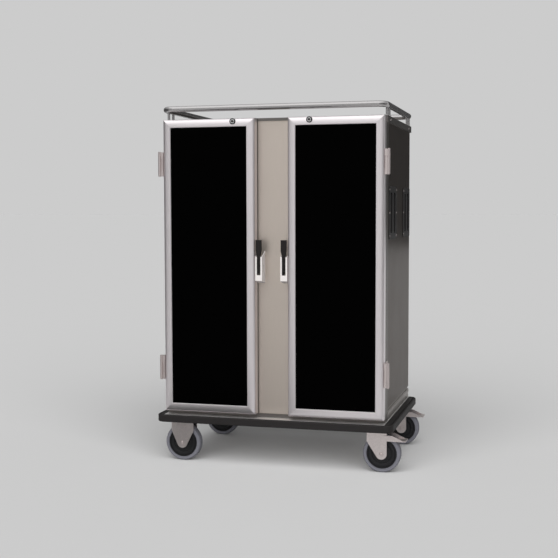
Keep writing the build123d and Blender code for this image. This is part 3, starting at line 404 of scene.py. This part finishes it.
def turned(bm, outline, centre, axis="Y", closed=False, steps=96):
    """Sweeps (radius, distance along the axis) points, in mm, round a centre."""
    spokes = []
    for step in range(steps):
        angle = 2 * math.pi * step / steps
        spoke = []
        for radius, along in outline:
            first = radius * math.cos(angle)
            second = radius * math.sin(angle)
            offset = {"X": (along, first, second),
                      "Y": (first, along, second),
                      "Z": (first, second, along)}[axis]
            spoke.append(bm.verts.new(centre + Vector(offset) * MM))
        spokes.append(spoke)
    last = len(outline) if closed else len(outline) - 1
    for step in range(steps):
        near = spokes[step]
        far = spokes[(step + 1) % steps]
        for i in range(last):
            j = (i + 1) % len(outline)
            bm.faces.new((near[i], near[j], far[j], far[i]))


def dome_outline(radius, height):
    """A low domed head, from its rim to its middle, in mm."""
    outline = [(radius, 0.0)]
    for step in range(1, DOME_STEPS + 1):
        angle = math.radians(90.0 * step / DOME_STEPS)
        outline.append((radius * math.cos(angle), height * math.sin(angle)))
    return outline


def corners_of(node):
    """The lowest and highest corners of a node's box."""
    low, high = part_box(node)
    return Vector(low), Vector(high)


def middle(node):
    """The centre of a node's box."""
    low, high = corners_of(node)
    return (low + high) / 2


print("mesh helpers ready")

# %% [markdown]
# Each door frame is four lengths of aluminium extrusion, mitred at the corners. The section isn't flat: it
# swells from the outer edge up to the inner lip, so the light runs over it in one soft gradient. A quarter
# of a superellipse gives that swell. The bars are kept a hair apart, so the mitres show as fine dark
# lines.

# %% Door frames
FRAME_FACE = 38.0          # width of the bar's face, in mm
FRAME_WALL = 3.0
CROWN_WIDTH = 36.0
CROWN_DEPTH = 14.0
CROWN_POWER = 2.4
LIP_BEVEL = 2.5
CROWN_STEPS = 24
HOLLOW_SIDE = [(14.0, 6.0), (6.0, 11.0), (FRAME_WALL, 18.0)]      # in and back, behind the crown
MITRE_GAP = 0.3
BOLT_GAP = 2.0
KEEPER_HEIGHT = 16.0
KEEPER_DEPTH = 12.0


def bar_section(depth):
    """The bar's closed outline: distance in from the door's edge, and back from its front, in mm."""
    outline = [(0.0, depth)]
    for step in range(CROWN_STEPS + 1):
        t = math.cos(math.radians(90.0 * step / CROWN_STEPS))
        back = CROWN_DEPTH * (1 - (1 - t ** CROWN_POWER) ** (1 / CROWN_POWER))
        outline.append((CROWN_WIDTH * (1 - t), back))
    outline += [(FRAME_FACE, LIP_BEVEL), (FRAME_FACE, FRAME_WALL)]
    return outline + HOLLOW_SIDE + [(FRAME_WALL, depth)]


def add_bar(bm, start, end, inward, outline):
    """One mitred bar between two outer corners of the door."""
    along = (end - start).normalized()
    rings = []
    for corner, direction in ((start, along), (end, -along)):
        ring = []
        for across, back in outline:
            place = corner + (inward * across + direction * (across + MITRE_GAP)) * MM
            ring.append(bm.verts.new(place + Vector((0, back * MM, 0))))
        rings.append(ring)
    near, far = rings
    for i in range(len(outline)):
        j = (i + 1) % len(outline)
        bm.faces.new((near[i], near[j], far[j], far[i]))
    bm.faces.new(near)
    bm.faces.new(list(reversed(far)))


def cut_window(made, low, high):
    """Cuts a box out of a piece, for the latch bolt's nose to enter."""
    bm = bmesh.new()
    for vert in bmesh.ops.create_cube(bm, size=1.0)["verts"]:
        vert.co = Vector([low[i] + (vert.co[i] + 0.5) * (high[i] - low[i]) for i in range(3)])
    cutter_mesh = bpy.data.meshes.new("cutter")
    bm.to_mesh(cutter_mesh)
    bm.free()
    cutter = bpy.data.objects.new("cutter", cutter_mesh)
    bpy.context.scene.collection.objects.link(cutter)
    modifier = made.modifiers.new("window", "BOOLEAN")
    modifier.object = cutter
    modifier.operation = "DIFFERENCE"
    depsgraph = bpy.context.evaluated_depsgraph_get()
    cut_mesh = bpy.data.meshes.new_from_object(made.evaluated_get(depsgraph))
    made.modifiers.clear()
    made.data = cut_mesh
    bpy.data.objects.remove(cutter)


for side in ("left", "right"):
    low, high = corners_of(side + "_door_frame")
    outline = bar_section((high.y - low.y) / MM)
    corners = [Vector((low.x, low.y, low.z)), Vector((high.x, low.y, low.z)),
               Vector((high.x, low.y, high.z)), Vector((low.x, low.y, high.z))]
    inwards = [Vector((0, 0, 1)), Vector((-1, 0, 0)), Vector((0, 0, -1)), Vector((1, 0, 0))]
    bm = bmesh.new()
    for i in range(4):
        add_bar(bm, corners[i], corners[(i + 1) % 4], inwards[i], outline)
    door_frame = make_piece(side + "_door_bars", bm, anodised, side + "_door", side + "_door_frame", sharp=28)
    bolt_low, bolt_high = corners_of(side + "_latch_bolt")
    latch_edge = low.x if side == "right" else high.x
    reach = KEEPER_DEPTH * MM
    window_bottom = bolt_low.z - BOLT_GAP * MM
    cut_window(door_frame, (latch_edge - reach, bolt_low.y - BOLT_GAP * MM, window_bottom),
               (latch_edge + reach, bolt_high.y + BOLT_GAP * MM, window_bottom + KEEPER_HEIGHT * MM))

# %% [markdown]
# A key lock sits in the top bar of each door. From the front it is three rings: a black gasket, a chrome
# bezel with a rounded lip, and the dark plug with its key slot. The plug and its cam come from the frame
# and move with the key. The gasket and the bezel are made here, because their rounded lips catch the light.

# %% Locks
# Sections as (radius, distance behind the door's face), in mm. Negative is in front.
GASKET_SECTION = [(9.4, -0.3), (10.0, -0.8), (12.6, -0.8), (13.6, 0.2), (13.8, 2.0), (13.8, 14.0),
                  (9.4, 14.0)]
BEZEL_SECTION = [(9.3, 0.4), (9.2, -0.8), (8.6, -1.5), (7.6, -1.7), (6.6, -1.4), (6.0, -0.6), (5.7, 0.6),
                 (7.6, 0.6)]
LOCK_STEPS = 64

for side in ("left", "right"):
    low, high = corners_of(side + "_lock_barrel")
    centre = Vector(((low.x + high.x) / 2, low.y, (low.z + high.z) / 2))
    bm = bmesh.new()
    turned(bm, GASKET_SECTION, centre, closed=True, steps=LOCK_STEPS)
    make_piece(side + "_lock_gasket", bm, washer_rubber, side + "_door")
    bm = bmesh.new()
    turned(bm, BEZEL_SECTION, centre, closed=True, steps=LOCK_STEPS)
    make_piece(side + "_lock_bezel", bm, lock_chrome, side + "_door")

# %% [markdown]
# The latch levers are moulded with a stiffening rib down the stem. It is under three millimetres wide, but
# it catches the light just where the hand meets the latch.

# %% Latch details
RIB_HALF = 1.3
RIB_PROUD = 1.0
RIB_DEPTH = 3.0
RIB_FRONT_SHARE = 0.55     # the rib's front is narrower than its root
RIB_BEVEL = 0.3
RIB_BOTTOM = 12.0          # above the stem's foot
RIB_TOP = 78.0

for side in ("left", "right"):
    low, high = corners_of(side + "_latch_lever")
    centre_x = (low.x + high.x) / 2
    bm = bmesh.new()
    for vert in bmesh.ops.create_cube(bm, size=1.0)["verts"]:
        lean = RIB_FRONT_SHARE if vert.co.y < 0 else 1.0
        vert.co = Vector((centre_x + vert.co.x * 2 * RIB_HALF * lean * MM,
                          low.y + ((vert.co.y + 0.5) * RIB_DEPTH - RIB_PROUD) * MM,
                          low.z + (RIB_BOTTOM + (vert.co.z + 0.5) * (RIB_TOP - RIB_BOTTOM)) * MM))
    bmesh.ops.bevel(bm, geom=list(bm.edges), offset=RIB_BEVEL * MM, segments=2, affect="EDGES")
    make_piece(side + "_lever_rib", bm, lever_plastic, side + "_lever")

# %% [markdown]
# The roof sheet is held by a few pan-head screws through its rim, and the guard rail's posts are welded to
# their feet with a small fillet of weld. Such joints tell the eye how the cart was put together.

# %% Roof screws and weld beads
RIM_SCREW_PLACES = (-250.0, 300.0)     # along the cart's depth, in mm
POST_PLACES = (-300.0, -243.0, 295.0, 352.0)
POST_OUT = 515.0
POST_FOOT = 3.0
SCREW_HEAD_RADIUS = 4.0
SCREW_HEAD_HEIGHT = 1.8
WELD_SECTION = [(5.9, 2.6), (6.4, 1.3), (7.3, 0.5), (8.8, 0.02), (5.9, 0.02)]     # radius, height

roof_low, roof_high = corners_of("roof_panel")
bm = bmesh.new()
for rim_x, outward in ((roof_low.x, -1), (roof_high.x, 1)):
    for place in RIM_SCREW_PLACES:
        centre = Vector((rim_x, place * MM, (roof_low.z + roof_high.z) / 2))
        dome = dome_outline(SCREW_HEAD_RADIUS, SCREW_HEAD_HEIGHT)
        head = [(radius, outward * along) for radius, along in dome]
        turned(bm, head, centre, axis="X", steps=24)
make_piece("rim_screws", bm, hinge_steel, "cabinet")

bm = bmesh.new()
for post_y in POST_PLACES:
    for post_x in (-POST_OUT, POST_OUT):
        foot = Vector((middle("roof_panel").x + post_x * MM, post_y * MM, roof_high.z + POST_FOOT * MM))
        turned(bm, WELD_SECTION, foot, axis="Z", closed=True, steps=32)
make_piece("rail_weld_beads", bm, tube_steel, "cabinet")

# %% [markdown]
# A castor wheel is a hard core with a soft tyre moulded round it. The tyre's sides are slightly hollow,
# with a raised bead next to the core and rounded shoulders. The core's face is stepped in rings. Both are
# turned, and replace the plain rings of the frame, within the same width and radius.

# %% Wheels
RIM_RADIUS = 69.0
WHEEL_RADIUS = 86.0
SHOULDER_OUT = 7.0         # the tyre's rounded shoulder: out along the radius
SHOULDER_ACROSS = 10.0     # and across the tread
SHOULDER_STEPS = 8
TREAD_HALF = 12.0          # half of the flat tread
WHEEL_STEPS = 128


def tyre_outline():
    """Half of the tyre's section, from the core out to the middle of the tread, in mm."""
    bead = [(-0.2, 19.6), (0.4, 21.6), (1.6, 22.6), (3.0, 22.4), (4.0, 21.6), (6.0, 21.4), (8.0, 21.8)]
    outline = [(RIM_RADIUS + out, along) for out, along in bead]
    for step in range(SHOULDER_STEPS + 1):
        angle = math.radians(90.0 * step / SHOULDER_STEPS)
        outline.append((WHEEL_RADIUS - SHOULDER_OUT + SHOULDER_OUT * math.sin(angle),
                        TREAD_HALF + SHOULDER_ACROSS * math.cos(angle)))
    return outline


def core_outline():
    """The core's face from the tyre in to the bore, in mm: a rim, two ring grooves and a long hub."""
    rim = [(-0.2, 19.6), (-1.2, 20.0), (-5.4, 20.0), (-6.0, 19.4), (-6.4, 16.4), (-8.4, 16.0), (-9.0, 18.2),
           (-9.6, 18.6), (-23.0, 17.4), (-23.6, 16.8), (-24.0, 14.4), (-26.4, 14.2), (-27.0, 16.4),
           (-27.6, 16.8)]
    hub = [(20.0, 15.6), (18.0, 16.2), (16.6, 18.0), (16.0, 20.0), (16.0, 27.2), (15.4, 27.7), (6.3, 27.7)]
    return [(RIM_RADIUS + out, along) for out, along in rim] + hub


def both_faces(half):
    """A closed section from half of it: the same again, mirrored to the other face."""
    return half + [(radius, -along) for radius, along in reversed(half)]


for corner in ("left_front", "left_rear", "right_front", "right_rear"):
    centre = middle(corner + "_tyre")
    wheel_body = corner + "_wheel"
    bm = bmesh.new()
    turned(bm, both_faces(tyre_outline()), centre, closed=True, steps=WHEEL_STEPS)
    make_piece(corner + "_soft_tyre", bm, tyre_rubber, wheel_body, corner + "_tyre", sharp=40)
    bm = bmesh.new()
    turned(bm, both_faces(core_outline()), centre, closed=True, steps=WHEEL_STEPS)
    make_piece(corner + "_stepped_core", bm, hub_plastic, wheel_body, corner + "_wheel_core", sharp=40)

# %% [markdown]
# Each axle is a bolt through the fork, with a low domed head in front and a six-sided nut behind.

# %% Axles
FORK_OUT = 32.0
NUT_HEIGHT = 7.6
NUT_RADIUS = 9.0
NUT_CHAMFER_ALONG = 1.2
NUT_CHAMFER_IN = 1.0
HEAD_RADIUS = 8.8
HEAD_HEIGHT = 5.0
SHANK_RADIUS = 6.0
SHANK_END_RADIUS = 5.0
SHANK_END_LENGTH = 0.3


def add_nut(bm, centre, start):
    """A six-sided nut on an axle along Y, chamfered at its outer face."""
    rings = []
    for radius, along in ((NUT_RADIUS, start), (NUT_RADIUS, start + NUT_HEIGHT - NUT_CHAMFER_ALONG),
                          (NUT_RADIUS - NUT_CHAMFER_IN, start + NUT_HEIGHT)):
        ring = []
        for corner in range(6):
            angle = math.radians(60 * corner)
            offset = Vector((radius * math.cos(angle), along, radius * math.sin(angle)))
            ring.append(bm.verts.new(centre + offset * MM))
        rings.append(ring)
    for near, far in zip(rings, rings[1:]):
        for i in range(6):
            bm.faces.new((near[i], near[(i + 1) % 6], far[(i + 1) % 6], far[i]))
    bm.faces.new(rings[-1])


def add_axle(bm, centre):
    """A bolt through the wheel: domed head in front, shank, and a nut behind."""
    head = [(radius, -FORK_OUT - along) for radius, along in reversed(dome_outline(HEAD_RADIUS, HEAD_HEIGHT))]
    shank_end = FORK_OUT + NUT_HEIGHT + SHANK_END_LENGTH
    shank = [(SHANK_RADIUS, -FORK_OUT), (SHANK_RADIUS, FORK_OUT + NUT_HEIGHT), (SHANK_END_RADIUS, shank_end),
             (0.0, shank_end)]
    turned(bm, head + shank, centre, steps=40)
    add_nut(bm, centre, FORK_OUT)


bm = bmesh.new()
for corner in ("left_front", "left_rear"):
    add_axle(bm, middle(corner + "_tyre"))
make_piece("fixed_axle_bolts", bm, hinge_steel, "cabinet", "fixed_axles", sharp=30)
for corner in ("right_front", "right_rear"):
    bm = bmesh.new()
    add_axle(bm, middle(corner + "_tyre"))
    make_piece(corner + "_axle_bolt", bm, hinge_steel, corner + "_swivel", corner + "_axle", sharp=30)

# %% [markdown]
# Everything that comes straight from the frame still needs its finish. The table names each node once, so
# a missing one stops the script here and not in the render.

# %% Finishes for the frame's own pieces
finishes = {
    "chassis_tray": tray_steel,
    "buffer_ring": buffer_rubber,
    "bottom_frame": grey_anodised,
    "front_frame": dark_anodised,
    "roof_panel": roof_steel_with_painted_shade,
    "back_panel": side_steel_with_painted_shade,
    "left_side_panel": side_steel_with_painted_shade,
    "right_side_panel": side_steel_with_painted_shade,
    "centre_panel": centre_steel,
    "left_liner": liner_steel,
    "right_liner": liner_steel,
    "tray_runners": liner_steel,
    "insulation": foam,
    "panel_screws": hinge_steel,
    "guard_rail": tube_steel,
    "fixed_forks": zinc,
    "fixed_axles": hinge_steel,
    "swivel_plates": zinc,
    "castor_bolts": zinc,
    "latch_pins": dark_zinc,
    "cabinet_hinge_leaves": hinge_steel,
    "hinge_pins": hinge_steel,
}
for side in ("left_", "right_"):
    finishes[side + "push_handles"] = handle_plastic
    finishes[side + "latch_housing"] = latch_paint
    finishes[side + "latch_lever"] = lever_plastic
    finishes[side + "latch_bolt"] = zinc
    finishes[side + "door_frame"] = anodised
    finishes[side + "door_front_panel"] = door_laminate
    finishes[side + "door_core"] = foam
    finishes[side + "door_inner_skin"] = liner_steel
    finishes[side + "door_gasket"] = gasket_rubber
    finishes[side + "lock_barrel"] = lock_chrome
    finishes[side + "lock_plug"] = plug_steel
    finishes[side + "door_hinge_leaves"] = hinge_steel
    for end in ("front_", "rear_"):
        finishes[side + end + "tyre"] = tyre_rubber
        finishes[side + end + "wheel_core"] = hub_plastic
for end in ("front_", "rear_"):
    finishes["right_" + end + "fork"] = zinc
    finishes["right_" + end + "axle"] = hinge_steel
    finishes["right_" + end + "brake_pedal"] = zinc
for name, material in finishes.items():
    mesh = nodes[name].data
    mesh.materials.clear()
    mesh.materials.append(material)
print("finishes", len(finishes), "of", len(nodes))
